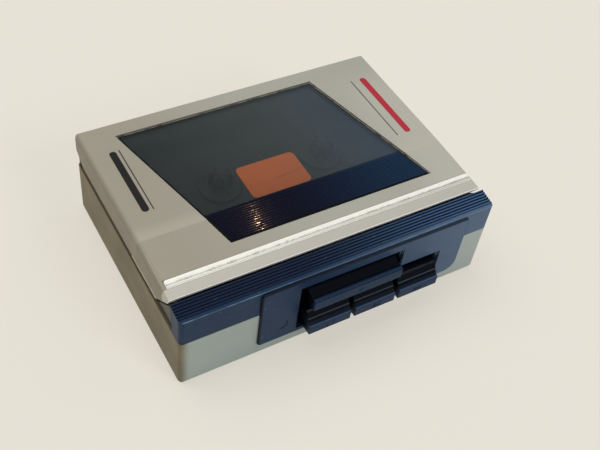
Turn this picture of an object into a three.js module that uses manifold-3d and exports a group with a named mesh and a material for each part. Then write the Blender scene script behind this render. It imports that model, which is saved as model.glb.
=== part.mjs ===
// A pocket stereo cassette player, in millimetres.
// +X is to the right along the key side, +Y to the hinge side, +Z up through the lid.
// The origin is the centre of the base, on the face that the player rests on.
import * as THREE from "three";
import { mergeVertices } from "three/addons/utils/BufferGeometryUtils.js";
import Module from "manifold-3d";

const wasm = await Module();
wasm.setup();

// ---- driving dimensions ----
const GAP = 0.3; // clearance between pieces that meet
const CASE = { x: 61, y: 44.75, height: 22.1, wall: 2, floor: 2, corner: 1.6, edge: 1 };
const LID = { x: 61, front: -35.4, back: 45.6, top: 35.3, skin: 1.8, skirt: 25.2 };
const HINGE = { y: 43.2, z: 29.3, pin: 1, boss: 2, ear: 1.9 };
const DECK = { bottom: 20.6, top: 22.2 };
const WELL = { left: -48.9, right: 53.1, front: -35.2, back: 41.3, top: 32 };
const RAIL = { front: -CASE.y, back: -37.2, top: 34.8, nose: 33.6, bottom: 22.4, wall: 2 };
const PANEL = { left: -32.7, right: 49.8, bottom: 5.6, top: 32.8, thick: 0.9 };
const KEYHOLE = { left: -18.2, right: 39.9, bottom: 7.6, step: 22.6, upper: 29.2, lower: 20.4 };
const KEY = { left: -16.5, width: 16.3, pitch: 18.2, rear: -40 };
const PLAY_KEY = { left: -16, width: 34.6, rear: -40.6 };
const SPINDLE_GAP = 42.5; // compact cassette hub spacing
const HUBS = { x: 2.1, y: 12 }; // midway between the two hubs
const SUPPLY = { x: HUBS.x - SPINDLE_GAP / 2, y: HUBS.y };
const TAKE_UP = { x: HUBS.x + SPINDLE_GAP / 2, y: HUBS.y };
const CAPSTAN = { x: 30.1, y: -16.8, r: 1 };
const MOTOR = { x: -37, y: -16.8, r: 12.5, bottom: 2.4, top: 10.9, screws: 8.5 };
const MECHANISM = { bottom: 18.3, top: 19.3 };
const GEAR = { module: 0.6, pinion: 10, wheel: 40, small: 14, take_up: 36 }; // tooth counts
const LOWER_GEARS = { bottom: 15, top: 16.1 };
const UPPER_GEARS = { bottom: 16.4, top: 17.6 };
const BELT = { z: 12.7, width: 0.8, thick: 0.9 };
const FLYWHEEL = { r: 13.5, groove: 0.8, bottom: 11, top: 14.4 };
const PULLEY = { r: 3.2, flange: 0.6, bottom: 11.3, top: 14.1 };
const BAY = { end: 53, front: 26.4, back: CASE.y - CASE.wall, wall: 1.4, height: 18, door: 14 };
const SCREWS = [[-55, -38], [55, -38], [-55, 21.4], [55, 21.4]];
const WHEEL = { x: 53.6, y: -14, r: 9, bottom: 13.3, top: 15.7 };
const PHONES = { y: 2.5, z: 9.8, collar: 3, bore: 1.8 };
const POWER = { y: 12.3, z: 9.8, collar: 3.5, bore: 2.6 };
const BOARD = { left: -20, right: 58.3, front: -33.5, back: 17.2, bottom: 4, top: 5.4 };

// ---- finishes ----
const finish = (color, roughness, metalness = 0, extra = {}) =>
  new THREE.MeshStandardMaterial({ color, roughness, metalness, ...extra });
const CASE_PLASTIC = finish(0x9a9a8c, 0.6);
const SILVER_PAINT = finish(0xaaa79a, 0.45);
const NAVY_PLASTIC = finish(0x1f2c45, 0.45);
const SMOKED_CLEAR = finish(0x23262b, 0.08, 0, { transparent: true, opacity: 0.5 });
const CHROME = finish(0xe8e6de, 0.2, 1);
const STEEL = finish(0xb4b6b8, 0.35, 1);
const BRASS = finish(0xb08d4a, 0.35, 1);
const BLACK_PLASTIC = finish(0x1a1b1e, 0.5);
const WHITE_PLASTIC = finish(0xd8d6cc, 0.5);
const ORANGE_PAPER = finish(0xc8683a, 0.8);
const RUBBER = finish(0x17171a, 0.9);
const LAMINATE = finish(0x6b5a2c, 0.7);

// ---- solids ----
const TURN = 2 * Math.PI;
const QUARTER = Math.PI / 2;

function toSolid(geometry) {
  const bare = geometry.index ? geometry.toNonIndexed() : geometry.clone();
  bare.deleteAttribute("normal");
  bare.deleteAttribute("uv");
  const merged = mergeVertices(bare, 1e-4);
  const mesh = new wasm.Mesh({
    numProp: 3,
    vertProperties: merged.attributes.position.array,
    triVerts: new Uint32Array(merged.index.array),
  });
  return new wasm.Manifold(mesh);
}

function toGeometry(solid) {
  const mesh = solid.getMesh();
  return new THREE.BufferGeometry()
    .setAttribute("position", new THREE.BufferAttribute(mesh.vertProperties, 3))
    .setIndex(new THREE.BufferAttribute(mesh.triVerts, 1));
}

const join = (first, ...rest) => rest.reduce((sum, next) => sum.add(next), first);
const cut = (first, ...rest) => rest.reduce((left, next) => left.subtract(next), first);

function block(x0, x1, y0, y1, z0, z1) {
  const box = new THREE.BoxGeometry(x1 - x0, y1 - y0, z1 - z0);
  return toSolid(box.translate((x0 + x1) / 2, (y0 + y1) / 2, (z0 + z1) / 2));
}

// An upright rod.
function post(x, y, r, z0, z1, sides = 16) {
  const rod = new THREE.CylinderGeometry(r, r, z1 - z0, sides);
  return toSolid(rod.rotateX(QUARTER).translate(x, y, (z0 + z1) / 2));
}

// A rod along X.
function bar(y, z, r, x0, x1, sides = 16) {
  const rod = new THREE.CylinderGeometry(r, r, x1 - x0, sides);
  return toSolid(rod.rotateZ(QUARTER).translate((x0 + x1) / 2, y, z));
}

const outline = (points) => new THREE.Shape(points.map(([u, v]) => new THREE.Vector2(u, v)));

// A rectangle with round corners: their radii run from bottom right, anticlockwise.
function rounded(x0, x1, y0, y1, a, b = a, c = a, d = a) {
  const shape = new THREE.Shape();
  shape.absarc(x1 - a, y0 + a, a, -QUARTER, 0);
  shape.absarc(x1 - b, y1 - b, b, 0, QUARTER);
  shape.absarc(x0 + c, y1 - c, c, QUARTER, 2 * QUARTER);
  shape.absarc(x0 + d, y0 + d, d, 2 * QUARTER, 3 * QUARTER);
  return shape;
}

function extrude(shape, depth, curveSegments = 5) {
  return new THREE.ExtrudeGeometry(shape, { depth, bevelEnabled: false, curveSegments });
}

// A shape drawn in X and Y, raised along Z.
const slab = (shape, z0, z1, segments) =>
  toSolid(extrude(shape, z1 - z0, segments).translate(0, 0, z0));

// A shape drawn in Y and Z, drawn out along X.
function beam(shape, x0, x1, segments) {
  const axes = [[0, 1, 0], [0, 0, 1], [1, 0, 0]].map((axis) => new THREE.Vector3(...axis));
  const turn = new THREE.Matrix4().makeBasis(...axes);
  return toSolid(extrude(shape, x1 - x0, segments).applyMatrix4(turn).translate(x0, 0, 0));
}

// A shape drawn in X and Z, drawn out along Y.
const sheet = (shape, y0, y1, segments) =>
  toSolid(extrude(shape, y1 - y0, segments).rotateX(QUARTER).translate(0, y1, 0));

// A profile of [radius, height] points turned round Z.
function turned(points, sides = 20) {
  const profile = points.map(([r, z]) => new THREE.Vector2(r, z));
  return toSolid(new THREE.LatheGeometry(profile, sides).rotateX(QUARTER));
}

const player = new THREE.Group();
function add(name, solid, material, x = 0, y = 0, z = 0, parent = player) {
  const mesh = new THREE.Mesh(toGeometry(solid), material);
  mesh.name = name;
  mesh.position.set(x, y, z);
  parent.add(mesh);
}

// ---- rear case: an open tray with the battery bay, screw bosses and side holes ----
function rearCase() {
  const { x, y, height, wall, floor, corner, edge } = CASE;
  const plan = rounded(-x + edge, x - edge, -y + edge, y - edge, corner - edge);
  const skin = new THREE.ExtrudeGeometry(plan, {
    depth: height,
    bevelThickness: edge,
    bevelSize: edge,
    bevelSegments: 2,
    curveSegments: 4,
  });
  const outer = toSolid(skin.translate(0, 0, edge)).intersect(block(-x, x, -y, y, 0, height));
  const inner = slab(rounded(-x + wall, x - wall, -y + wall, y - wall, 1.2), floor, height + 1, 2);
  const end = BAY.end + BAY.wall;
  const bay = block(-end, end, BAY.front - BAY.wall, y - wall / 2, floor / 2, BAY.height);
  const bosses = SCREWS.map(([sx, sy]) => post(sx, sy, 3.6, floor / 2, DECK.bottom - GAP));
  const counterbores = SCREWS.map(([sx, sy]) => post(sx, sy, 2.7, -1, 2.6));
  const shanks = SCREWS.map(([sx, sy]) => post(sx, sy, 1.4, 2, height, 12));
  const sideHoles = [PHONES, POWER].map((jack) =>
    bar(jack.y, jack.z, jack.collar + 0.4, x - wall - 1, x + 1),
  );
  const wheelSlot = block(
    x - wall - 1, x + 1, WHEEL.y - 8, WHEEL.y + 8, WHEEL.bottom - 0.6, WHEEL.top + 0.6,
  );
  const keySlot = block(
    KEYHOLE.left - 0.6, KEYHOLE.right + 0.6, -y - 1, -y + wall + 1, KEYHOLE.bottom, height + 1,
  );
  const bayMouth = block(-BAY.end, BAY.end, BAY.front, BAY.back, -1, height);
  const bayBack = block(-BAY.end, BAY.end, BAY.back - 1, y + 1, -1, BAY.door);
  const tray = join(cut(outer, inner), bay, ...bosses);
  return cut(tray, bayMouth, bayBack, keySlot, wheelSlot, ...sideHoles, ...counterbores, ...shanks);
}
add("rear_case", rearCase(), CASE_PLASTIC);

// ---- battery door: an L-shaped cover that slides out towards the hinge side ----
function batteryDoor() {
  const half = BAY.end - GAP;
  const front = BAY.front + GAP;
  const back = CASE.y - 0.1;
  const top = BAY.door - GAP;
  const skin = 1.6;
  const profile = outline([
    [front, 0.2], [back, 0.2], [back, top], [back - skin, top], [back - skin, 1.8], [front, 1.8],
  ]);
  const grips = [0, 1, 2, 3].map((i) => block(-6, 6, 30 + i * 2, 30.8 + i * 2, -1, 0.6));
  return cut(beam(profile, -half, half), ...grips);
}
add("battery_door", batteryDoor(), CASE_PLASTIC);

// ---- battery contacts: a coil on a plate at one end of the bay, a stud at the other ----
const CELL = { y: (BAY.front + BAY.back) / 2, z: 9.6 };
const CONTACT = 0.5;
function contactCoil() {
  const turns = 3.5;
  const length = 3.4;
  const steps = 42;
  const points = Array.from({ length: steps + 1 }, (_, i) => {
    const along = i / steps;
    const r = 4.6 - 2.4 * along;
    const angle = along * turns * TURN;
    return new THREE.Vector3(length * along, r * Math.cos(angle), r * Math.sin(angle));
  });
  const wire = new THREE.Shape().absarc(0, 0, 0.4, 0, TURN);
  const extrudePath = new THREE.CatmullRomCurve3(points);
  const options = { extrudePath, steps: 60, curveSegments: 3, bevelEnabled: false };
  return toSolid(new THREE.ExtrudeGeometry(wire, options));
}
const contactPlate = () => block(0, CONTACT, -6, 6, -6, 6);
const studPlate = join(contactPlate(), bar(0, 0, 2.6, -0.7, 0.1, 12));
add("battery_spring_plate", contactPlate(), STEEL, -BAY.end + GAP, CELL.y, CELL.z);
add("battery_spring", contactCoil(), STEEL, -BAY.end + 1.5, CELL.y, CELL.z);
add("battery_plate", studPlate, STEEL, BAY.end - GAP - CONTACT, CELL.y, CELL.z);

// ---- case screws, driven up from the base into the bosses ----
function caseScrew() {
  const body = turned([[0, 0], [2.3, 0], [2.3, 1.1], [1.1, 1.8], [1.1, 12], [0, 13]], 12);
  const arm = 1.6;
  return cut(body, block(-arm, arm, -0.3, 0.3, -1, 0.7), block(-0.3, 0.3, -arm, arm, -1, 0.7));
}
SCREWS.forEach(([x, y], i) => add(`case_screw_${i + 1}`, caseScrew(), STEEL, x, y, 0.5));

// ---- front rail: the ribbed hood over the keys ----
function frontRail() {
  const { front, back, top, nose, bottom, wall } = RAIL;
  const slope = (y) => nose + ((y - front) / (back - front)) * (top - nose);
  const grooves = 6;
  const groove = { first: front + 1.15, pitch: 1.085, width: 0.36, depth: 0.4, flank: 0.06 };
  const crest = [];
  for (let i = 0; i < grooves; i++) {
    const y0 = groove.first + i * groove.pitch;
    const y1 = y0 + groove.width;
    crest.push([y0, slope(y0)], [y0 + groove.flank, slope(y0) - groove.depth]);
    crest.push([y1 - groove.flank, slope(y1) - groove.depth], [y1, slope(y1)]);
  }
  const skin = outline([
    [front, bottom], [-39, bottom], [back, top - 1.6], [back, top], ...crest.reverse(),
    [front + 0.5, nose], [front, nose - 0.5],
  ]);
  const hollow = outline([
    [front + wall, bottom - 1], [-30, bottom - 1], [-30, top - 2.2], [front + wall, nose - 1.6],
  ]);
  const keySlot = block(
    KEYHOLE.left - 0.6, KEYHOLE.step + 0.6, front - 1, front + wall + 1,
    bottom - 1, KEYHOLE.upper + 0.6,
  );
  const { x, corner } = CASE;
  const plan = slab(rounded(-x, x, front, back + 10, corner), bottom - 1, top + 1, 4);
  const hood = beam(skin, -x, x).intersect(plan);
  return cut(hood, beam(hollow, -x + 1.8, x - 1.8), keySlot);
}
add("front_rail", frontRail(), NAVY_PLASTIC);

// ---- key panel: the raised plate round the keys, with a stepped opening ----
function keyPanel() {
  const { left, right, bottom, top, thick } = PANEL;
  const small = 1.2;
  const large = 5;
  const plate = rounded(left, right, bottom, top, large, small);
  const hole = outline([
    [KEYHOLE.left, KEYHOLE.bottom], [KEYHOLE.right, KEYHOLE.bottom],
    [KEYHOLE.right, KEYHOLE.lower], [KEYHOLE.step, KEYHOLE.lower],
    [KEYHOLE.step, KEYHOLE.upper], [KEYHOLE.left, KEYHOLE.upper],
  ]);
  const back = -CASE.y - 0.1;
  return cut(sheet(plate, back - thick, back), sheet(hole, back - thick - 1, back + 1));
}
add("key_panel", keyPanel(), NAVY_PLASTIC);

// ---- keys: one wide play key over three narrow ones ----
const PLAY_PROFILE = [
  [PLAY_KEY.rear, 22.9], [-47, 22.9], [-47.4, 22.5], [-50.9, 22.5], [-51.3, 22.9], [-51.3, 26.8],
  [-50.9, 27.3], [-49.8, 27.5], [-49.4, 27.2], [-48.6, 27.2], [-47, 27.8], [-45.6, 28.6],
  [PLAY_KEY.rear, 28.7],
];
const LOW_PROFILE = [
  [KEY.rear, 9.9], [-51.1, 9.9], [-51.6, 10.4], [-51.6, 13.9], [-51.3, 14.3], [-50.5, 14.6],
  [-50.3, 15.3], [-49.8, 15.5], [-49.7, 16.4], [-49.4, 16.6], [-48.4, 18.4], [-47.2, 19.3],
  [KEY.rear, 19.6],
];
// A tongue behind the play key pushes the head plate.
const tongue = block(10, 32, PLAY_KEY.rear - 1, -34.9, 24.4, 26);
const playKey = join(beam(outline(PLAY_PROFILE), 0, PLAY_KEY.width), tongue);
add("play_key", playKey, NAVY_PLASTIC, PLAY_KEY.left);
["stop_key", "rewind_key", "fast_forward_key"].forEach((name, i) => {
  add(name, beam(outline(LOW_PROFILE), 0, KEY.width), NAVY_PLASTIC, KEY.left + i * KEY.pitch);
});

// ---- key latch: a sliding bar behind the lower keys, with a hook for each ----
function keyLatch() {
  const bottom = 15;
  const top = 18.4;
  const comb = [];
  for (let i = 0; i < 3; i++) {
    const x = 6 + i * KEY.pitch;
    comb.push([x, bottom], [x, 11], [x + 3, 11], [x + 3, bottom]);
  }
  return sheet(outline([[0, bottom], ...comb, [53, bottom], [53, top], [0, top]]), 0, 0.8);
}
add("key_latch", keyLatch(), STEEL, -15, -35.9);

// ---- deck plate: the floor of the cassette well, with four rests for the cassette ----
function deckPlate() {
  const x = CASE.x - CASE.wall - GAP;
  const y = CASE.y - CASE.wall - GAP;
  const floor = slab(rounded(-x, x, -38.5, y, 1), DECK.bottom, DECK.top, 2);
  const places = [[-46, 38], [50, 38], [-46, -6], [50, -6]];
  const rests = places.map(([rx, ry]) => post(rx, ry, 1.8, DECK.top - 0.5, 24.1, 10));
  const hubHoles = [SUPPLY, TAKE_UP].map((hub) => post(hub.x, hub.y, 4.4, 20, 23));
  return cut(join(floor, ...rests), ...hubHoles, post(CAPSTAN.x, CAPSTAN.y, 3.2, 20, 23, 12));
}
const ON_DECK = DECK.top + 0.05;
const label = slab(rounded(-12.3, 12.3, -8.3, 8.3, 2), 0, 0.3, 4);
add("deck_plate", deckPlate(), BLACK_PLASTIC);
add("deck_label", label, ORANGE_PAPER, HUBS.x, 10.2, ON_DECK);

// ---- well surround: walls round the cassette, hinge ears, and cheeks at the front corners ----
function hingeEar(x0, x1) {
  const { y, z, ear, pin } = HINGE;
  const web = block(x0, x1, y - ear + 0.2, y + ear - 0.5, 24, z);
  return cut(join(web, bar(y, z, ear, x0, x1)), bar(y, z, pin + GAP, x0 - 1, x1 + 1));
}
function cheek(x0, x1, base) {
  const shape = outline([
    [-38.6, base], [-25.2, base], [-25.4, 23.7], [-35.9, 32.9], [-36.8, 32.9],
  ]);
  return beam(shape, x0, x1);
}
function wellSurround() {
  const x = 58.4;
  const base = DECK.top + GAP;
  const { left, right, front, back, top } = WELL;
  const railTop = 26.7;
  const wall = 1.6;
  const walls = cut(
    block(-x, x, front - wall, back + 0.6, base, top),
    block(left, right, front, back, base - 1, top + 1), // the well
    block(-x + wall, left - wall, front, 39, base - 1, top - wall), // hollow sides
    block(right + wall, x - wall, front, 39, base - 1, top - wall),
    block(-x - 1, -53.2, 40.2, 50, railTop, top + 1), // room for the lid's hinge bosses
    block(53.4, x + 1, 40.2, 50, railTop, top + 1),
    block(-8, 20, front - 3, front + 1, 24, top + 1), // gap for the play key's tongue
  );
  const plan = rounded(-60.6, 60.6, 20, 44.6, CASE.corner);
  const behind = block(-62, 62, back + 0.5, 46, 0, 40);
  return join(
    walls,
    slab(plan, RAIL.bottom, railTop, 3).intersect(behind),
    hingeEar(-56.4, -53.9),
    hingeEar(53.9, 56.4),
    cheek(-60.4, -57.8, base),
    cheek(57.8, 60.4, base),
  );
}
add("well_surround", wellSurround(), CASE_PLASTIC);

// ---- lid: a painted cover with a slanted window, hinged along the back ----
const WINDOW_CORNERS = [[-32.6, -22.6], [48.4, -22.6], [32.6, 39.3], [-48.1, 39.3]];
const TRIM = { front: -31.3, back: -28.1, seat: 34 };
const CREASE = { y: -10.5, drop: 0.55 }; // the lid falls from here towards the trim strip
const UNDERSIDE = LID.top - LID.skin;
const lid = new THREE.Group();
player.add(lid);

// The window's corners moved outwards by a distance.
function grown(corners, by) {
  const middle = [0, 1].map((k) => corners.reduce((sum, p) => sum + p[k], 0) / corners.length);
  const slant = 1.2; // the slanted ends need a little more
  return corners.map(([x, y]) => [
    x + Math.sign(x - middle[0]) * by * slant,
    y + Math.sign(y - middle[1]) * by,
  ]);
}
// A span of X on the left or right side, given as distances from the middle.
const sideSpan = (side, near, far) => (side > 0 ? [near, far] : [-far, -near]);

function lidFrame() {
  const { x, front, back, top, skin, skirt } = LID;
  const side = outline([
    [front, 33.1], [-25.8, 24.6], [-6.6, 24.6], [-6.6, skirt], [39, skirt], [back, 29.6],
    [back, top - 1.2], [back - 0.4, top - 0.4], [back - 1.2, top], [CREASE.y, top],
    [TRIM.back, top - CREASE.drop], [TRIM.back, TRIM.seat], [TRIM.front, TRIM.seat],
    [TRIM.front, 34.4], [front, 33.8],
  ]);
  const across = outline([
    [-x, 20], [x, 20], [x, top - 1.8], [x - 0.5, top - 0.6], [x - 1.8, top],
    [-x + 1.8, top], [-x + 0.5, top - 0.6], [-x, top - 1.8],
  ]);
  const plan = slab(rounded(-x, x, front - 10, back, CASE.corner), 20, 40, 4);
  const outer = beam(side, -x, x).intersect(sheet(across, front - 1, back + 1)).intersect(plan);
  const inside = outline([
    [-40, 20], [-40, 32.3], [-27.6, 32.3], [-25, UNDERSIDE], [back - skin, UNDERSIDE],
    [back - skin, 20],
  ]);
  const windowHole = slab(outline(WINDOW_CORNERS), 30, 40);
  let solid = cut(outer, beam(inside, -x + skin, x - skin), windowHole);
  for (const end of [-1, 1]) {
    const boss = bar(HINGE.y, HINGE.z, HINGE.boss, ...sideSpan(end, 56.9, x - skin + 0.2));
    const bore = bar(HINGE.y, HINGE.z, HINGE.pin + 0.1, ...sideSpan(end, 55, x - skin + 0.1));
    const earSlot = block(...sideSpan(end, 53.6, 56.7), 41, back + 1, 24, UNDERSIDE);
    solid = cut(join(solid, boss), bore, earSlot);
  }
  const tab = outline([[-33.6, 32.8], [-34.6, 32.8], [-34.6, 29.4], [-34, 28.6], [-33.6, 28.6]]);
  return join(solid, beam(tab, 24, 32));
}
add("lid_frame", lidFrame(), SILVER_PAINT, 0, 0, 0, lid);

function lidWindow() {
  const seat = UNDERSIDE - GAP;
  const pane = slab(outline(grown(WINDOW_CORNERS, -0.25)), seat, LID.top - 0.45);
  const flange = slab(outline(grown(WINDOW_CORNERS, 1.6)), seat - 0.9, seat + 0.1);
  return join(pane, flange);
}
add("lid_window", lidWindow(), SMOKED_CLEAR, 0, 0, 0, lid);

function trimStrip() {
  const front = TRIM.front + 0.1;
  const back = TRIM.back - 0.1;
  const seat = TRIM.seat + 0.1;
  const profile = outline([
    [front, seat], [back, seat], [back, 35], [-28.6, 35.2], [-30.2, 35.1], [-30.9, 34.8],
    [front, 34.5],
  ]);
  return beam(profile, -59.2, 60.2);
}
add("trim_strip", trimStrip(), CHROME, 0, 0, 0, lid);

const hingePin = () => bar(0, 0, HINGE.pin, -2.5, 2.5);
add("hinge_pin_left", hingePin(), STEEL, -56.35, HINGE.y, HINGE.z, lid);
add("hinge_pin_right", hingePin(), STEEL, 56.35, HINGE.y, HINGE.z, lid);

// Leaf springs under the lid press the cassette down.
function leafSpring() {
  const leaf = outline([
    [-9, 0], [-4, 0], [3, -0.8], [8, -0.5], [8, -0.3], [3, -0.55], [-4, 0.3], [-9, 0.3],
  ]);
  return beam(leaf, -1.5, 1.5);
}
add("cassette_spring_left", leafSpring(), STEEL, -46.6, 2, UNDERSIDE - 0.4, lid);
add("cassette_spring_right", leafSpring(), STEEL, 46, 14, UNDERSIDE - 0.4, lid);

// ---- lid clip: a bent leaf that the lid's tab snaps past ----
function lidClip() {
  const foot = DECK.top + 0.4;
  const clip = outline([
    [-33, foot], [-30.6, foot], [-30.6, foot + 0.3], [-32.7, foot + 0.3], [-32.7, 27],
    [-33.2, 28.6], [-32.7, 30], [-33, 30], [-33.5, 28.6], [-33, 27],
  ]);
  return beam(clip, 25, 31);
}
add("lid_clip", lidClip(), STEEL);

// ---- tape drive: pinion on the capstan, a double idler, and the take-up gear ----
function gearWheel(teeth, bore, phase, { bottom, top }) {
  const { module: m } = GEAR;
  const pitch = (m * teeth) / 2;
  // Radius and half the tooth's width at root, pitch circle and tip.
  const flank = [[pitch - 1.1 * m, 0.98 * m], [pitch, 0.62 * m], [pitch + 0.75 * m, 0.3 * m]];
  const points = [];
  for (let k = 0; k < teeth; k++) {
    const middle = phase + (TURN * k) / teeth;
    const side = (sign) => ([r, half]) => {
      const angle = middle + (sign * half) / r;
      return [r * Math.cos(angle), r * Math.sin(angle)];
    };
    points.push(...flank.map(side(-1)), ...[...flank].reverse().map(side(1)));
  }
  const shape = outline(points);
  shape.holes.push(new THREE.Path().absarc(0, 0, bore, 0, TURN, true));
  return slab(shape, bottom, top, 8);
}
const centres = (a, b) => (GEAR.module * (a + b)) / 2; // distance between two meshed gears
// The idler sits beside the line from capstan to take-up spindle, in mesh with both.
const toTakeUp = [TAKE_UP.x - CAPSTAN.x, TAKE_UP.y - CAPSTAN.y];
const span = Math.hypot(...toTakeUp);
const reach = centres(GEAR.pinion, GEAR.wheel);
const along = (span ** 2 + reach ** 2 - centres(GEAR.small, GEAR.take_up) ** 2) / (2 * span);
const aside = Math.sqrt(reach ** 2 - along ** 2);
const [ux, uy] = toTakeUp.map((v) => v / span);
const IDLER = {
  x: CAPSTAN.x + ux * along + uy * aside,
  y: CAPSTAN.y + uy * along - ux * aside,
  post: 1.3,
};
// The phase that sets a gear's gap against a tooth of the idler, whose own phase is 0.
function meshedPhase(idlerTeeth, gear, teeth) {
  const line = Math.atan2(gear.y - IDLER.y, gear.x - IDLER.x);
  const pitches = (line * idlerTeeth) / TURN;
  return line + TURN / 2 + ((pitches + 0.5) * TURN) / teeth;
}
const idlerBore = IDLER.post + GAP;
const idler = join(
  gearWheel(GEAR.wheel, idlerBore, 0, LOWER_GEARS),
  gearWheel(GEAR.small, idlerBore, 0, { bottom: LOWER_GEARS.top - 0.1, top: UPPER_GEARS.top }),
);
const pinionPhase = meshedPhase(GEAR.wheel, CAPSTAN, GEAR.pinion);
const pinion = gearWheel(GEAR.pinion, CAPSTAN.r + GAP, pinionPhase, LOWER_GEARS);
const takeUpPhase = meshedPhase(GEAR.small, TAKE_UP, GEAR.take_up);
const takeUpGear = gearWheel(GEAR.take_up, 2.9, takeUpPhase, UPPER_GEARS);
add("capstan_pinion", pinion, WHITE_PLASTIC, CAPSTAN.x, CAPSTAN.y);
add("idler_gear", idler, WHITE_PLASTIC, IDLER.x, IDLER.y);
add("take_up_gear", takeUpGear, WHITE_PLASTIC, TAKE_UP.x, TAKE_UP.y);

// A ring turned from its inner and outer radius.
function ring(inner, outer, bottom, top, sides) {
  const section = [[inner, bottom], [outer, bottom], [outer, top], [inner, top], [inner, bottom]];
  return turned(section, sides);
}
function flywheel() {
  const { r, groove, bottom, top } = FLYWHEEL;
  const bore = 1.15;
  const profile = [
    [bore, bottom], [r, bottom], [r, BELT.z - 0.9], [r - groove, BELT.z - 0.6],
    [r - groove, BELT.z + 0.6], [r, BELT.z + 0.9], [r, top], [bore, top], [bore, bottom],
  ];
  return turned(profile, 32);
}
const shaft = turned([[0, 9.6], [CAPSTAN.r, 9.6], [CAPSTAN.r, 30.6], [0.6, 31], [0, 31]], 16);
add("flywheel", flywheel(), BRASS, CAPSTAN.x, CAPSTAN.y);
add("capstan_shaft", shaft, STEEL, CAPSTAN.x, CAPSTAN.y);
add("capstan_bearing", ring(1.35, 2.4, 17.8, 22.4, 16), BRASS, CAPSTAN.x, CAPSTAN.y);

function spindle(bottom) {
  const body = turned([
    [0, bottom], [2.5, bottom], [2.5, 22.6], [7.8, 22.6], [8, 22.8], [8, 23.4], [7.8, 23.6],
    [4, 23.8], [3, 24.4], [2.9, 29.6], [1.6, 31.2], [0, 31.4],
  ], 24);
  const fin = outline([[2.4, 23], [4.4, 24.2], [4.4, 28.8], [3.4, 30.2], [2.4, 30.4]]);
  const fins = [0, 1, 2, 3, 4, 5].map((i) => beam(fin, -0.5, 0.5).rotate([0, 0, i * 60]));
  return join(body, ...fins);
}
const brakeDrum = turned([[0, 16.4], [6, 16.4], [6, 17.8], [0, 17.8]], 20);
add("supply_spindle", join(spindle(16.4), brakeDrum), BLACK_PLASTIC, SUPPLY.x, SUPPLY.y);
add("take_up_spindle", spindle(14.8), BLACK_PLASTIC, TAKE_UP.x, TAKE_UP.y);

// ---- mechanism plate: carries the spindles, the idler's post and the motor's posts ----
function mechanismPlate() {
  const { bottom, top } = MECHANISM;
  const plate = slab(rounded(-51, 50, -34, 24, 3), bottom, top, 3);
  const hubHoles = [SUPPLY, TAKE_UP].map((hub) => post(hub.x, hub.y, 2.8, 17, 21));
  const bearingHole = post(CAPSTAN.x, CAPSTAN.y, 2.7, 17, 21);
  const idlerPost = post(IDLER.x, IDLER.y, IDLER.post, 14.6, top, 12);
  const motorPosts = [-MOTOR.screws, MOTOR.screws].map((dy) =>
    post(MOTOR.x - MOTOR.screws, MOTOR.y + dy, 1.6, MOTOR.top + GAP, top, 10),
  );
  return join(cut(plate, ...hubHoles, bearingHole), idlerPost, ...motorPosts);
}
add("mechanism_plate", mechanismPlate(), STEEL);

// ---- motor, its pulley, and the belt ----
function motor() {
  const { r, bottom, top } = MOTOR;
  const profile = [
    [0, bottom], [r - 0.8, bottom], [r, bottom + 0.8], [r, top - 0.6], [r - 0.6, top], [0, top],
  ];
  return turned(profile, 28);
}
function pulley() {
  const { r, flange, bottom, top } = PULLEY;
  const rim = r + flange;
  const profile = [
    [0, bottom], [rim, bottom], [rim, bottom + 0.5], [r - 0.1, BELT.z - 0.6],
    [r - 0.1, BELT.z + 0.6], [rim, top - 0.5], [rim, top], [0, top],
  ];
  return turned(profile, 20);
}
add("motor", motor(), STEEL, MOTOR.x, MOTOR.y);
add("motor_pulley", pulley(), BRASS, MOTOR.x, MOTOR.y);

// The belt's outline runs round pulley and flywheel on their outer tangents.
function beltLoop(extra) {
  const big = FLYWHEEL.r - FLYWHEEL.groove + 0.4 + extra;
  const little = PULLEY.r + GAP + extra;
  const dx = CAPSTAN.x - MOTOR.x;
  const dy = CAPSTAN.y - MOTOR.y;
  const heading = Math.atan2(dy, dx);
  const lean = Math.asin((big - little) / Math.hypot(dx, dy));
  const start = heading - QUARTER - lean;
  const end = heading + QUARTER + lean;
  const shape = new THREE.Shape();
  shape.absarc(CAPSTAN.x, CAPSTAN.y, big, start, end);
  shape.absarc(MOTOR.x, MOTOR.y, little, end, start + TURN);
  return shape;
}
function driveBelt() {
  const { z, width, thick } = BELT;
  const outer = slab(beltLoop(thick), z - width / 2, z + width / 2, 14);
  return cut(outer, slab(beltLoop(0), z - width, z + width, 14));
}
add("drive_belt", driveBelt(), RUBBER);

// ---- playback head on its sliding plate ----
const ABOVE_DECK = { bottom: 22.6, top: 23.5 };
function headPlate() {
  const plan = outline([
    [-16, -34], [20, -34], [20, -27.6], [9, -26.4], [-9, -26.4], [-16, -28.5],
  ]);
  const lug = block(-7, 16, -34.6, -33.8, ABOVE_DECK.bottom, 26); // the play key pushes here
  return join(slab(plan, ABOVE_DECK.bottom, ABOVE_DECK.top), lug);
}
function headScrew() {
  return turned([[0, 0], [1.6, 0], [1.6, 1], [1.1, 1.4], [0, 1.4]], 12);
}
function tapeHead() {
  const shape = new THREE.Shape();
  shape.moveTo(-6, -32.6);
  shape.lineTo(6, -32.6);
  shape.lineTo(6, -26.5);
  shape.quadraticCurveTo(3.4, -24.4, 0, -24.2);
  shape.quadraticCurveTo(-3.4, -24.4, -6, -26.5);
  return slab(shape, 23.7, 31, 5);
}
add("head_plate", headPlate(), STEEL, HUBS.x);
add("head_screw_left", headScrew(), BRASS, HUBS.x - 8.5, -30.5, 23.7);
add("head_screw_right", headScrew(), BRASS, HUBS.x + 8.5, -30.5, 23.7);
add("tape_head", tapeHead(), CHROME, HUBS.x);

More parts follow.
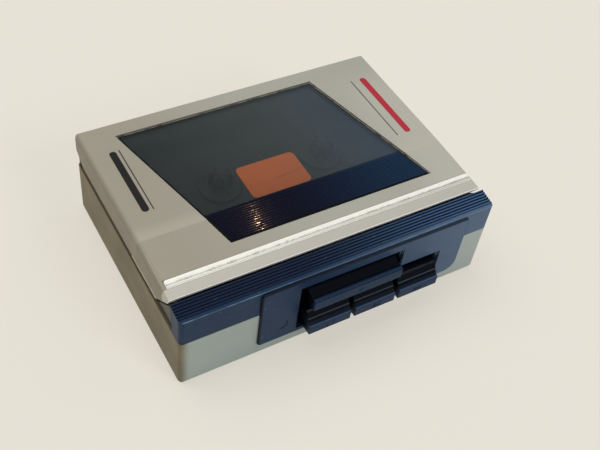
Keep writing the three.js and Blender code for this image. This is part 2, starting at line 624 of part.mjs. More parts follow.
// ---- pinch roller on its swinging arm ----
const PINCH = { x: 29.6, y: -25.4, r: 4.6 };
const PIVOT = { x: 45, y: -29.5, r: 1.2 };
function pinchArm() {
  const { bottom, top } = ABOVE_DECK;
  const shape = outline([
    [27, -27.6], [46.3, -31.6], [47.4, -28.8], [45.4, -27], [32.5, -23], [27.6, -23.4],
  ]);
  const axle = post(PINCH.x, PINCH.y, 1, bottom + 0.4, 30.8, 12);
  const eye = post(PIVOT.x, PIVOT.y, PIVOT.r + GAP, bottom - 1, top + 1, 12);
  return cut(join(slab(shape, bottom, top), axle), eye);
}
const roller = ring(1.3, PINCH.r, 23.8, 30.2, 24);
add("pinch_arm", pinchArm(), STEEL);
add("pinch_roller", roller, RUBBER, PINCH.x, PINCH.y);
add("pinch_pivot", post(0, 0, PIVOT.r, ON_DECK, 25, 12), STEEL, PIVOT.x, PIVOT.y);

// ---- pins that locate the cassette ----
function guidePin() {
  const shoulder = 24.1;
  return turned([
    [0, ON_DECK], [1.6, ON_DECK], [1.6, shoulder], [1.1, shoulder + 0.3], [1.1, 28.4], [0, 29.4],
  ], 12);
}
add("guide_pin_left", guidePin(), STEEL, HUBS.x - 36, -15.5);
add("guide_pin_right", guidePin(), STEEL, HUBS.x + 40, -15.5);

// ---- circuit board with its screw and larger parts ----
const BOARD_SCREW = { x: BOARD.left + 4, y: BOARD.back - 4, shank: 1.1 };
const ON_BOARD = BOARD.top + 0.05;
function circuitBoard() {
  const { left, right, front, back, bottom, top } = BOARD;
  const hole = post(BOARD_SCREW.x, BOARD_SCREW.y, BOARD_SCREW.shank + GAP, 3, 7, 12);
  return cut(block(left, right, front, back, bottom, top), hole);
}
function boardScrew() {
  const { shank } = BOARD_SCREW;
  return turned([
    [0, -3], [shank, -3], [shank, 0], [2 * shank, 0], [1.6 * shank, shank], [0, shank],
  ], 12);
}
function capacitor() {
  const r = 3.2;
  const height = 5.2;
  return turned([[0, 0], [r, 0], [r, height - 0.4], [r - 0.4, height], [0, height]], 14);
}
add("circuit_board", circuitBoard(), LAMINATE);
add("board_screw", boardScrew(), STEEL, BOARD_SCREW.x, BOARD_SCREW.y, BOARD.top + 0.1);
add("amplifier_chip", block(-8, 10, -3.2, 3.2, 0, 3.4), BLACK_PLASTIC, 8, 10, ON_BOARD);
add("capacitor_left", capacitor(), BLACK_PLASTIC, -10, -24, ON_BOARD);
add("capacitor_right", capacitor(), BLACK_PLASTIC, 0, -24, ON_BOARD);

// ---- headphone and power sockets, whose collars pass through the right side ----
function socket({ collar, bore }, depth) {
  const body = join(block(-11.5, -2.4, -4, 4, -4.2, 3.6), bar(0, 0, collar, -3, 0.4));
  return cut(body, bar(0, 0, bore, -depth, 1));
}
const powerSocket = join(socket(POWER, 8), bar(0, 0, 0.8, -8.5, -1, 10)); // with its centre pin
add("headphone_socket", socket(PHONES, 10), BLACK_PLASTIC, CASE.x, PHONES.y, PHONES.z);
add("power_socket", powerSocket, BLACK_PLASTIC, CASE.x, POWER.y, POWER.z);

// ---- volume thumbwheel on its control ----
function volumeWheel() {
  const teeth = 32;
  const points = Array.from({ length: teeth * 2 }, (_, i) => {
    const r = WHEEL.r - (i % 2) * 0.5;
    const angle = (TURN * i) / (teeth * 2);
    return [r * Math.cos(angle), r * Math.sin(angle)];
  });
  const shape = outline(points);
  shape.holes.push(new THREE.Path().absarc(0, 0, 1.8, 0, TURN, true));
  return slab(shape, WHEEL.bottom, WHEEL.top, 4);
}
const control = join(block(-5, 4.8, -5, 5, 5.6, 12.8), post(0, 0, 1.4, 12, WHEEL.top, 12));
add("volume_wheel", volumeWheel(), BLACK_PLASTIC, WHEEL.x, WHEEL.y);
add("volume_control", control, STEEL, WHEEL.x, WHEEL.y);

export default player;
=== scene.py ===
from math import pi, radians

import bmesh
import bpy
from mathutils import Matrix, Vector


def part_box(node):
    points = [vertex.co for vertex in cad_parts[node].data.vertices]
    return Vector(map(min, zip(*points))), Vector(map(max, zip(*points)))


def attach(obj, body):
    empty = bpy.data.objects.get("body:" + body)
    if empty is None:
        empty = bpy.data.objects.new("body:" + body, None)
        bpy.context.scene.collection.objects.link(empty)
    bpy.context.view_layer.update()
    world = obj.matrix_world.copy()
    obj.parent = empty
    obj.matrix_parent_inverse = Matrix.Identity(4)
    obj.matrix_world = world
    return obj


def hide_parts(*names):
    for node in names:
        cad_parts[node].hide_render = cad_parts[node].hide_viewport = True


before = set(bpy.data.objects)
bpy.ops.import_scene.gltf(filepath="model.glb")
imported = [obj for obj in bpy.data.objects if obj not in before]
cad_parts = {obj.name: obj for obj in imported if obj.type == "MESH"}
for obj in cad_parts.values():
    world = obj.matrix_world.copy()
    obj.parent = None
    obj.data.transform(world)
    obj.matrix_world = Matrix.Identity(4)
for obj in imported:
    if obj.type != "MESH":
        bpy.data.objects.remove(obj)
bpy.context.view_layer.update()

# ---- studio ----
# The camera looks down on the player's left front corner. A large softbox stands a little
# behind it, weaker lights fill in from the key side and the right, and a small bulb gives the
# ribs their glints.
MM = 0.001


def shade(code):
    """The linear colour of a hex code."""
    levels = [int(code[i : i + 2], 16) / 255 for i in (1, 3, 5)]
    return (*[((c + 0.055) / 1.055) ** 2.4 if c > 0.04 else c / 12.92 for c in levels], 1)


def sun(name, towards, angle, strength, tint):
    """A soft lamp far away, in the direction given."""
    bpy.ops.object.light_add(type="SUN")
    lamp = bpy.context.object
    lamp.name = name
    lamp.data.angle = radians(angle)
    lamp.data.energy = strength
    lamp.data.color = shade(tint)[:3]
    lamp.rotation_euler = Vector(towards).to_track_quat("Z", "Y").to_euler()


bpy.ops.object.select_all(action="DESELECT")
bpy.ops.object.camera_add(location=Vector((-129.58, -192.59, 261.53)) * MM)
camera = bpy.context.object
looking = Vector((0.39613, 0.54557, -0.73853)).normalized()
picture_up = Vector((0.30553, 0.68018, 0.66634))
picture_right = looking.cross(picture_up).normalized()
picture_up = picture_right.cross(looking)
camera.rotation_euler = Matrix((picture_right, picture_up, -looking)).transposed().to_euler()
camera.data.sensor_width = 36
camera.data.lens = 54.67
camera.data.clip_start = 0.01
bpy.context.scene.camera = camera
bpy.context.scene.view_settings.view_transform = "Standard"

sun("softbox", towards=(-0.25, 0.4, 1), angle=55, strength=1.62, tint="#fffdf8")
sun("window_light", towards=(0.5, -1, 0.8), angle=24, strength=0.95, tint="#f4f8ff")
sun("right_fill", towards=(1, 0.1, 0.5), angle=60, strength=0.3, tint="#e8f1ff")
bpy.ops.object.light_add(type="POINT", location=(0.266, -0.182, 0.763))
ceiling_bulb = bpy.context.object
ceiling_bulb.name = "ceiling_bulb"
ceiling_bulb.data.energy = 0.11
ceiling_bulb.data.color = shade("#ffc79c")[:3]
ceiling_bulb.data.shadow_soft_size = 0.003


# ---- table and backdrop ----
# The table top is painted a matt cream, and the backdrop is the same cream. Its paint is the
# first finish: each finish is one Principled shader, whose patterns follow the piece.
class Signal:
    """A value at each point of a surface, for sums written as plain expressions."""

    def __init__(self, finish, socket):
        self.finish = finish
        self.socket = socket

    def math(self, operation, *values):
        return self.finish.node("Math", {"operation": operation}, dict(enumerate(values)))

    def __add__(self, other):
        return self.math("ADD", self, other)

    def __radd__(self, other):
        return self.math("ADD", other, self)

    def __sub__(self, other):
        return self.math("SUBTRACT", self, other)

    def __rsub__(self, other):
        return self.math("SUBTRACT", other, self)

    def __mul__(self, other):
        return self.math("MULTIPLY", self, other)

    def __rmul__(self, other):
        return self.math("MULTIPLY", other, self)

    def abs(self):
        return self.math("ABSOLUTE", self)

    def rise(self, start, end):
        """0 at start, 1 at end and beyond, smooth between them. Start may be the larger."""
        low, high = (start, end) if start < end else (end, start)
        inputs = {"Value": self, "From Min": low, "From Max": high}
        if start > end:
            inputs.update({"To Min": 1.0, "To Max": 0.0})
        return self.finish.node("MapRange", {"interpolation_type": "SMOOTHSTEP"}, inputs)


class Finish:
    """A named material with its Principled shader."""

    def __init__(self, name):
        self.material = bpy.data.materials.new(name)
        self.material.use_nodes = True
        self.tree = self.material.node_tree
        self.shader = self.tree.nodes["Principled BSDF"]
        self.place = self.node("TexCoord", output="Object")

    def node(self, kind, settings=None, inputs=None, output=0):
        """One output of a new node, whose settings are made before its sockets are fed."""
        made = self.tree.nodes.new("ShaderNode" + kind)
        for name, value in (settings or {}).items():
            setattr(made, name, value)
        for name, value in (inputs or {}).items():
            self.feed(made.inputs[name], value)
        return Signal(self, made.outputs[output])

    def feed(self, socket, value):
        if isinstance(value, Signal):
            self.tree.links.new(value.socket, socket)
        else:
            socket.default_value = value

    def set(self, inputs):
        """Sets or links the shader's own sockets."""
        for name, value in inputs.items():
            self.feed(self.shader.inputs[name], value)

    def along(self, axis):
        """How far each point lies along X, Y or Z, in millimetres."""
        return self.node("SeparateXYZ", None, {"Vector": self.place}, axis) * (1 / MM)

    def noise(self, size, detail=2, stretch=(1, 1, 1), roughness=0.5):
        """Cloudy noise whose blotches are size millimetres across, longer along a stretch."""
        scale = [1 / s for s in stretch]
        place = self.node("Mapping", None, {"Vector": self.place, "Scale": scale})
        inputs = {"Vector": place, "Scale": 1 / (size * MM)}
        inputs.update({"Detail": detail, "Roughness": roughness})
        return self.node("TexNoise", None, inputs)

    def blend(self, first, second, share):
        """The first colour, and the second where share is 1."""
        inputs = {0: share, 6: first, 7: second}
        return self.node("Mix", {"data_type": "RGBA"}, inputs, 2)

    def bump(self, height, depth):
        """Lifts the surface by height times depth millimetres."""
        inputs = {"Height": height, "Distance": depth * MM, "Strength": 1.0}
        self.set({"Normal": self.node("Bump", None, inputs)})


table_below = 0.2 * MM  # so that the case's flat base doesn't lie in the same plane
bpy.ops.mesh.primitive_plane_add(size=6, location=(0, 0, -table_below))
table_top = bpy.context.object
table_top.name = "table_top"

backdrop_cream = shade("#e7e2d6")
table_paint = Finish("table_paint")
table_paint.set({"Base Color": shade("#ece7dc"), "Roughness": 0.9, "Specular IOR Level": 0.1})
seen_by = ("Is Camera Ray", "Is Glossy Ray", "Is Transmission Ray")
camera_ray, glossy_ray, glass_ray = [table_paint.node("LightPath", output=ray) for ray in seen_by]
lit = Signal(table_paint, table_paint.shader.outputs["BSDF"])
glow = table_paint.node("Emission", None, {"Color": backdrop_cream})
glow_share = (camera_ray + glossy_ray + glass_ray) * 0.65
pale_table = table_paint.node("MixShader", None, {0: glow_share, 1: lit, 2: glow})
table_paint.feed(table_paint.tree.nodes["Material Output"].inputs["Surface"], pale_table)
table_top.data.materials.append(table_paint.material)

world = bpy.data.worlds.new("studio")
world.use_nodes = True
bpy.context.scene.world = world
links, nodes = world.node_tree.links, world.node_tree.nodes
sky, backdrop = nodes["Background"], nodes.new("ShaderNodeBackground")
sky.inputs["Color"].default_value = shade("#f2f4f7")
sky.inputs["Strength"].default_value = 0.32
backdrop.inputs["Color"].default_value = backdrop_cream
seen = nodes.new("ShaderNodeMixShader")
links.new(nodes.new("ShaderNodeLightPath").outputs["Is Camera Ray"], seen.inputs[0])
links.new(sky.outputs[0], seen.inputs[1])
links.new(backdrop.outputs[0], seen.inputs[2])
links.new(seen.outputs[0], nodes["World Output"].inputs["Surface"])


# ---- rear case ----
# The bottom shell is one moulding of grey-green ABS, open on top, with a bay for two cells.
# Four screws hold it to the upper parts. Its left side is painted darker and browner, partly for
# grime and partly as painted shade.
def extent(node):
    """A node's lowest and highest corners, in millimetres."""
    return [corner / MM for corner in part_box(node)]


def activate(piece):
    """Makes a piece the only one selected, and the active one."""
    bpy.ops.object.select_all(action="DESELECT")
    piece.select_set(True)
    bpy.context.view_layer.objects.active = piece


def merged_copy(node, name):
    """A copy of a node's mesh whose loose triangles are merged into clean faces."""
    piece = bpy.data.objects.new(name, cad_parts[node].data.copy())
    piece.data.materials.clear()
    bpy.context.scene.collection.objects.link(piece)
    activate(piece)
    bpy.ops.object.mode_set(mode="EDIT")
    bpy.ops.mesh.select_all(action="SELECT")
    bpy.ops.mesh.remove_doubles(threshold=0.002 * MM)
    flat = radians(1)
    bpy.ops.mesh.tris_convert_to_quads(face_threshold=flat, shape_threshold=pi)
    bpy.ops.object.mode_set(mode="OBJECT")
    return piece


def soften(piece, radius, segments=2, sharp=35):
    """Rounds every edge sharper than an angle, and shades the rest smooth."""
    activate(piece)
    if radius:
        bevel = piece.modifiers.new("soft_edges", "BEVEL")
        bevel.width = radius * MM
        bevel.segments = segments
        bevel.limit_method = "ANGLE"
        bevel.angle_limit = radians(sharp)
        bpy.ops.object.modifier_apply(modifier="soft_edges")
    bpy.ops.object.shade_smooth_by_angle(angle=radians(sharp))
    flatten = piece.modifiers.new("flat_faces", "WEIGHTED_NORMAL")
    flatten.keep_sharp = True
    flatten.weight = 100
    bpy.ops.object.modifier_apply(modifier="flat_faces")
    return piece


def fit(piece, body, slot, finish, *nodes):
    """Puts a finished piece on its body, in its finish, in place of the nodes named."""
    piece.data.materials.clear()
    piece.data.materials.append(finish.material)
    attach(piece, body)
    if nodes:
        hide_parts(*nodes)
    return piece


case_low, case_high = extent("rear_case")
left_side = case_low.x

case_plastic = Finish("case_plastic")
case_x, case_y, case_z = [case_plastic.along(axis) for axis in "XYZ"]
clean = case_plastic.blend(shade("#a5b1a9"), shade("#9da9a2"), case_plastic.noise(14, 3))
# Painted light: towards the right the case is painted lighter, for the light that falls on that
# side.
clean = case_plastic.blend(clean, shade("#b0b9b6"), case_x.rise(-10, 60) * 0.6)
grime = case_plastic.noise(7, 5, (1, 2, 1)).rise(0.3, 0.75)
# On the left the case is brown and dark: the noise marks are grime and scuffs, and the dark tones
# are partly painted shade.
grime_and_shade = case_plastic.blend(shade("#7e7255"), shade("#6e6244"), grime)
scuffs = case_plastic.noise(0.5, 4, (1, 1, 8)).rise(0.6, 0.75)
specks = case_plastic.noise(0.7, 2).rise(0.7, 0.76)
grime_and_shade = case_plastic.blend(grime_and_shade, shade("#5c523b"), scuffs * 0.3 + specks * 0.6)
# Painted shade: darker low down towards the front.
painted_low_shade = case_y.rise(-5, -44) * case_z.rise(20, 6)
grime_and_shade = case_plastic.blend(grime_and_shade, shade("#544c39"), painted_low_shade * 0.35)
# Along the seam under the lid the rim is painted darker, partly dirt and partly painted shade.
seam_dirt_and_shade = case_z.rise(case_high.z - 0.25, case_high.z - 0.05)
seam_dirt_and_shade = seam_dirt_and_shade * case_x.rise(left_side + 3, left_side + 2.4)
grime_and_shade = case_plastic.blend(grime_and_shade, shade("#5a4a35"), seam_dirt_and_shade * 0.85)
on_left = case_x.rise(left_side + 4, left_side + 0.1)
case_plastic.set({"Base Color": case_plastic.blend(clean, grime_and_shade, on_left)})
case_plastic.set({"Roughness": 0.5 + case_plastic.noise(5, 3) * 0.12})
case_plastic.bump(case_plastic.noise(0.22, 2), 0.012)

rear_case = soften(merged_copy("rear_case", "rear_case_shell"), 0.3)
fit(rear_case, "case", "case_plastic", case_plastic, "rear_case")


# ---- battery door ----
# A slide-out cover moulded in the same plastic as the case, with four finger grooves.
battery_door = soften(merged_copy("battery_door", "battery_door_cover"), 0.25)
fit(battery_door, "battery_door", "case_plastic", case_plastic, "battery_door")


# ---- front rail ----
# The hood over the keys is a navy moulding with six fine grooves along its top, between a soft
# front edge with a painted pale highlight, and a smooth band beside the lid. Its corners follow
# the case's.
def extruded(name, outline, way):
    """A solid drawn round an outline of points in millimetres, then pulled along a way."""
    bpy.ops.object.select_all(action="DESELECT")
    bpy.ops.mesh.primitive_plane_add(size=MM, location=Vector(outline[0]) * MM)
    piece = bpy.context.object
    piece.name = name
    bpy.ops.object.transform_apply(location=True)
    bpy.ops.object.mode_set(mode="EDIT")
    bpy.ops.mesh.select_mode(type="VERT")
    bpy.ops.mesh.select_all(action="SELECT")
    bpy.ops.mesh.merge(type="CENTER")
    for start, end in zip(outline, outline[1:]):
        step = (Vector(end) - Vector(start)) * MM
        bpy.ops.mesh.extrude_region_move(TRANSFORM_OT_translate={"value": step})
    bpy.ops.mesh.select_all(action="SELECT")
    bpy.ops.mesh.edge_face_add()
    bpy.ops.mesh.extrude_region_move(TRANSFORM_OT_translate={"value": Vector(way) * MM})
    bpy.ops.mesh.select_all(action="SELECT")
    bpy.ops.mesh.normals_make_consistent(inside=False)
    bpy.ops.object.mode_set(mode="OBJECT")
    return piece


def lengthwise(name, profile, x0, x1):
    """A beam along X with a profile of (y, z) points."""
    return extruded(name, [(x0, y, z) for y, z in profile], (x1 - x0, 0, 0))


def upright(name, plan, z0, z1):
    """A slab with a plan of (x, y) points."""
    return extruded(name, [(x, y, z0) for x, y in plan], (0, 0, z1 - z0))


def rectangle(x0, x1, y0, y1):
    """The four corners, from the lowest left one round to the highest left one."""
    return [(x0, y0), (x1, y0), (x1, y1), (x0, y1)]


def round_edges(piece, radius, wanted, segments=4):
    """Rounds the edges that wanted picks, by an edge's middle, direction and face normals."""
    activate(piece)
    bpy.ops.object.mode_set(mode="EDIT")
    bpy.ops.mesh.select_mode(type="EDGE")
    bpy.ops.mesh.select_all(action="DESELECT")
    mesh = bmesh.from_edit_mesh(piece.data)
    for edge in mesh.edges:
        start, end = [corner.co / MM for corner in edge.verts]
        normals = [face.normal for face in edge.link_faces]
        edge.select_set(bool(wanted((start + end) / 2, (end - start).normalized(), normals)))
    bmesh.update_edit_mesh(piece.data)
    bpy.ops.mesh.bevel(offset=radius * MM, segments=segments, affect="EDGES")
    bpy.ops.object.mode_set(mode="OBJECT")
    return piece


def carve(piece, other, operation="DIFFERENCE"):
    """Cuts a solid away from a piece, or keeps what both share, or joins the two."""
    activate(piece)
    change = piece.modifiers.new("carve", "BOOLEAN")
    change.operation = operation
    change.object = other
    change.solver = "EXACT"
    bpy.ops.object.modifier_apply(modifier="carve")
    bpy.data.objects.remove(other)
    return piece


def ribs(first, count, pitch, height, depth):
    """The (y, z) points of rounded ribs in a row. The height of their crests may slope."""
    # One rib and the groove beyond it, as shares of the pitch and of the groove's depth.
    section = ((0, 1), (0.12, 0.36), (0.36, 0), (0.58, 0), (0.72, 0.3), (0.84, 1))
    points = []
    for i in range(count):
        for along, down in section:
            y = first + (i + along) * pitch
            points.append((y, height(y) - down * depth))
    return points


rail_low, rail_high = extent("front_rail")
nose = 33.6  # the height of the front edge
first_rib = rail_low.y + 1.42
rib_pitch = 1.085
rib_depth = 0.45
panel_low, panel_high = extent("key_panel")

navy_plastic = Finish("navy_plastic")
navy_x, navy_y, navy_z = [navy_plastic.along(axis) for axis in "XYZ"]
# Painted light: the navy is painted lighter and bluer towards the right, for light and reflection
# from that side.
rightwards = navy_x.rise(-20, 62)
navy_left = navy_plastic.blend(shade("#243954"), shade("#1d324c"), navy_plastic.noise(11, 3))
navy_right = navy_plastic.blend(shade("#586d87"), shade("#50647e"), navy_plastic.noise(11, 3))
navy_tone = navy_plastic.blend(navy_left, navy_right, rightwards)
rib_place = (navy_y - first_rib) * (1 / rib_pitch)
rib_phase = rib_place.math("FRACT", rib_place)
in_groove = (rib_phase - 0.46).abs().rise(0.16, 0.36)
on_ribs = navy_z.rise(nose - 0.1, nose) * rib_place.rise(-0.15, 0)
# The ribs get the same painted light, dark on the left and lighter on the right.
rib_tone = navy_plastic.blend(shade("#0d2442"), shade("#3f6087"), rightwards)
navy_tone = navy_plastic.blend(navy_tone, rib_tone, on_ribs)
# Painted shade in the grooves.
navy_tone = navy_plastic.blend(navy_tone, shade("#010514"), in_groove * on_ribs)
# Painted highlight: a pale, patchy line along the front edge.
front_edge = navy_y.rise(rail_low.y + 0.25, rail_low.y + 0.15)
front_edge = front_edge * navy_z.rise(nose - 0.35, nose - 0.2)
painted_nose_highlight = front_edge * (0.3 + navy_plastic.noise(6, 4).rise(0.4, 0.65) * 0.45)
navy_tone = navy_plastic.blend(navy_tone, shade("#7c94a6"), painted_nose_highlight)
flecks = navy_plastic.noise(0.5, 0).rise(0.86, 0.88)
navy_tone = navy_plastic.blend(navy_tone, shade("#9fb0bc"), flecks * 0.6)
# Painted shade: dark lines along the panel's top, bottom and left edges, and down its right edge
# under the rail.
on_panel = navy_y.rise(panel_high.y, panel_high.y - 0.1)
top_and_bottom = navy_z.rise(panel_high.z - 0.5, panel_high.z - 0.4)
top_and_bottom = top_and_bottom + navy_z.rise(panel_low.z + 0.5, panel_low.z + 0.4)
left_end = navy_x.rise(panel_low.x + 0.7, panel_low.x + 0.55)
right_end = navy_x.rise(panel_high.x - 0.5, panel_high.x - 0.4) * navy_z.rise(21, 24)
panel_edge_shade = (top_and_bottom + left_end + right_end).rise(0, 1) * on_panel
navy_tone = navy_plastic.blend(navy_tone, shade("#050912"), panel_edge_shade * 0.8)
navy_plastic.set({"Base Color": navy_tone, "Specular IOR Level": 0.12})
navy_plastic.set({"Roughness": 0.34 + navy_plastic.noise(4, 3) * 0.16})
navy_plastic.bump(navy_plastic.noise(0.25, 2), 0.008)


def rail_top(y):
    """The height of the rail's top, which rises evenly from its front edge to the lid."""
    return nose + (y - rail_low.y) / (rail_high.y - rail_low.y) * (rail_high.z - nose)


rail = lengthwise(
    "front_rail_hood",
    [
        (rail_low.y, rail_low.z),
        (rail_low.y, nose - 0.26),
        (rail_low.y + 0.07, nose - 0.09),
        (rail_low.y + 0.24, nose),
        *ribs(first_rib, 5, rib_pitch, rail_top, rib_depth),
        (rail_high.y - 0.7, rail_top(rail_high.y) - rib_depth),
        (rail_high.y - 0.55, rail_top(rail_high.y) - 0.15),
        (rail_high.y - 0.35, rail_top(rail_high.y)),
        (rail_high.y - 0.15, rail_top(rail_high.y)),
        (rail_high.y, rail_high.z - 0.2),
        (rail_high.y, rail_high.z - 1.6),
        (-39, rail_low.z),
    ],
    rail_low.x,
    rail_high.x,
)
rail_plan = rectangle(rail_low.x, rail_high.x, rail_low.y, rail_low.y + 30)
rail_corners = upright("rail_corners", rail_plan, 20, 40)
round_edges(rail_corners, 1.6, lambda m, way, _: abs(way.z) > 0.9 and m.y < -40, 6)
carve(rail, rail_corners, "INTERSECT")
room_front = rail_low.y + 2
rail_room = [(room_front, 21), (room_front, nose - 1.6), (-30, rail_high.z - 2.2), (-30, 21)]
carve(rail, lengthwise("rail_room", rail_room, rail_low.x + 1.8, rail_high.x - 1.8))
carve(rail, lengthwise("play_key_slot", rectangle(-46, -42, 21, 29.8), -18.8, 23.2))
soften(rail, 0)
fit(rail, "case", "navy_plastic", navy_plastic, "front_rail")


# ---- key panel ----
# A navy plate, screwed on from behind, frames the keys with a stepped opening. Its front edge
# is bevelled and its lower right corner has a large radius.
def facing(name, shape, y0, y1):
    """A sheet that faces the keys' side, with a shape of (x, z) points."""
    return extruded(name, [(x, y0, z) for x, z in shape], (0, y1 - y0, 0))


panel_plan = rectangle(panel_low.x, panel_high.x, panel_low.z, panel_high.z)
panel = facing("key_panel_plate", panel_plan, panel_low.y, panel_high.y)
round_edges(panel, 5, lambda m, way, _: abs(way.y) > 0.9 and m.x > 40 and m.z < 10, 8)
round_edges(panel, 1.2, lambda m, way, _: abs(way.y) > 0.9 and (m.x < -30 or m.z > 30), 4)
round_edges(panel, 0.45, lambda m, way, _: abs(m.y - panel_low.y) < 0.01, 3)
# The opening's upper part frames the play key, and its wider lower part the three small keys.
left, narrow, wide = -18.2, 22.6, 39.9
bottom, shoulder, top = 7.6, 20.4, 29.2
opening = [
    (left, bottom), (wide, bottom), (wide, shoulder), (narrow, shoulder), (narrow, top),
    (left, top),
]
carve(panel, facing("opening", opening, -48, -42))
lining = [
    (left - 0.55, bottom + 0.05), (wide + 0.55, bottom + 0.05), (wide + 0.55, shoulder),
    (wide, shoulder), (wide, bottom + 0.45), (left, bottom + 0.45), (left, 22), (left - 0.55, 22),
]
carve(panel, facing("lining", lining, panel_high.y - 0.2, -42.8), "UNION")
for mark in ([(-24.9, 10.6), (-23, 10.9), (-23, 13.4)], rectangle(-22.4, -21.9, 11, 14.6)):
    carve(panel, facing("sunk_mark", mark, panel_low.y - 1, panel_low.y + 0.2))
for x, z in ((20.9, 26.9), (22.0, 26.9), (38.2, 18.1), (39.3, 18.1)):
    guide = rectangle(x, x + 0.45, z, z + 2.6)
    carve(panel, facing("key_guide", guide, panel_low.y + 0.2, panel_high.y), "UNION")
soften(panel, 0.12, 2, 50)
fit(panel, "case", "navy_plastic", navy_plastic, "key_panel")


# ---- keys ----
# One wide play key stands over three narrow ones. Each is moulded in glossy navy plastic, with
# a dished top, a raised finger lip and its transport symbol sunk into the face.
def arrow(x, z, size, turn=1):
    """The three corners of a tape-transport arrowhead, pointing right, or left if turn is -1."""
    return [(x, z - size / 2), (x + turn * size * 0.9, z), (x, z + size / 2)][::turn]


key_plastic = Finish("key_plastic")
key_tone = key_plastic.blend(shade("#1d344f"), shade("#182c47"), key_plastic.noise(8, 3))
# Painted shade: the dished tops under the rail are painted near black.
on_top = key_plastic.along("Y").rise(-50.7, -49.7)
key_tone = key_plastic.blend(key_tone, shade("#02060f"), on_top)
key_z = key_plastic.along("Z")
# Painted shade in the creases of the lips.
low_crease = key_z.rise(14.4, 14.6) * key_z.rise(16.1, 15.5)
play_crease = key_z.rise(26.8, 26.9) * key_z.rise(27.2, 27.1)
key_tone = key_plastic.blend(key_tone, shade("#03050a"), (low_crease + play_crease) * 0.8)
# Painted highlights along the lip and step edges.
lip_edge = key_z.rise(14.05, 14.15) * key_z.rise(14.4, 14.3)
step_edge = key_z.rise(16.2, 16.3) * key_z.rise(16.6, 16.5)
painted_edge_highlights = lip_edge + step_edge * 0.6
key_tone = key_plastic.blend(key_tone, shade("#53687e"), painted_edge_highlights * 0.6)
key_plastic.set({"Base Color": key_tone, "Specular IOR Level": 0.08})
key_plastic.set({"Roughness": 0.27 + key_plastic.noise(3, 3) * 0.14})
key_plastic.bump(key_plastic.noise(0.3, 2), 0.006)

play_low, play_high = extent("play_key")
play_face = play_low.y
play_back = -40.6
play_profile = [
    (play_back, 22.9), (-47, 22.9), (-47.4, 22.5), (play_face + 0.4, 22.5),
    (play_face + 0.12, 22.62), (play_face, 22.9), (play_face, 26.8), (play_face + 0.12, 27.1),
    (play_face + 0.4, 27.3), (-49.8, 27.5), (-49.55, 27.38), (-49.4, 27.2), (-49.0, 27.12),
    (-48.3, 27.3), (-47.4, 27.65), (-46.5, 28.2), (-45.6, 28.6), (play_back, 28.7),
]
play_key = lengthwise("play_key_cap", play_profile, play_low.x, play_high.x)
carve(play_key, facing("sunk_mark", arrow(1.3, 24.9, 2.2), play_face - 1, play_face + 0.2))
tongue = rectangle(play_back - 1, play_high.y, 24.4, 26)
carve(play_key, lengthwise("tongue", tongue, -6, 16), "UNION")
soften(play_key, 0.14, 2, 40)
fit(play_key, "play_key", "navy_plastic", key_plastic, "play_key")

low_marks = {
    "stop_key": [rectangle(-1.4, -0.9, 11.2, 13.3), rectangle(0.9, 1.4, 11.2, 13.3)],
    "rewind_key": [arrow(0, 12.2, 2, -1), arrow(1.9, 12.2, 2, -1)],
    "fast_forward_key": [arrow(-1.9, 12.2, 2), arrow(0, 12.2, 2)],
}
for name, marks in low_marks.items():
    low, high = extent(name)
    face, back, middle = low.y, high.y, (low.x + high.x) / 2
    profile = [
        (back, 9.9), (face + 0.5, 9.9), (face + 0.15, 10.05), (face, 10.4), (face, 13.9),
        (face + 0.08, 14.15), (face + 0.3, 14.3), (-50.5, 14.6), (-50.3, 15.3), (-49.8, 15.5),
        (-49.7, 16.4), (-49.4, 16.6), (-48.9, 17.6), (-48.4, 18.4), (-47.8, 19.0), (-47.2, 19.3),
        (back, 19.6),
    ]
    key = lengthwise(name + "_cap", profile, low.x, high.x)
    for mark in marks:
        shape = [(middle + x, z) for x, z in mark]
        carve(key, facing("sunk_mark", shape, face - 1, face + 0.2))
    soften(key, 0.14, 2, 40)
    fit(key, name, "navy_plastic", key_plastic, name)


# ---- well surround and deck ----
# A moulding walls the cassette well and carries the hinge ears: grey on its cheeks, and painted
# near black inside them as shade. The black deck plate is its floor, with four rests for the
# cassette.
well_grey = Finish("well_grey")
well_tone = well_grey.blend(shade("#6c6a5e"), shade("#5b594e"), well_grey.noise(6, 3))
# Painted shade: inside the cheeks the walls are near black.
on_cheek = well_grey.along("X").abs().rise(57.4, 57.7) * well_grey.along("Z").rise(24.4, 25.4)
well_tone = well_grey.blend(shade("#1f1d19"), well_tone, on_cheek)
well_grey.set({"Base Color": well_tone, "Roughness": 0.55 + well_grey.noise(3, 3) * 0.12})
well_grey.set({"Specular IOR Level": 0.3})
surround = merged_copy("well_surround", "well_surround_walls")
cheek_inside, cheek_outside = 57.85, 61
lid_gap = [(-25.9, 23.1), (-36.4, 32.3), (-36.4, 34), (-25.9, 34)]
for end in (-1, 1):
    span = sorted((end * cheek_inside, end * cheek_outside))
    carve(surround, lengthwise("lid_gap", lid_gap, *span))
soften(surround, 0.2)
fit(surround, "case", "case_plastic", well_grey, "well_surround")

deck_black = Finish("deck_black")
deck_tone = deck_black.blend(shade("#1d1f22"), shade("#141518"), deck_black.noise(7, 3))
deck_black.set({"Base Color": deck_tone, "Roughness": 0.55 + deck_black.noise(3, 3) * 0.15})
deck_black.set({"Specular IOR Level": 0.25})
deck = soften(merged_copy("deck_plate", "deck_floor"), 0.15)
fit(deck, "case", "black_plastic", deck_black, "deck_plate")


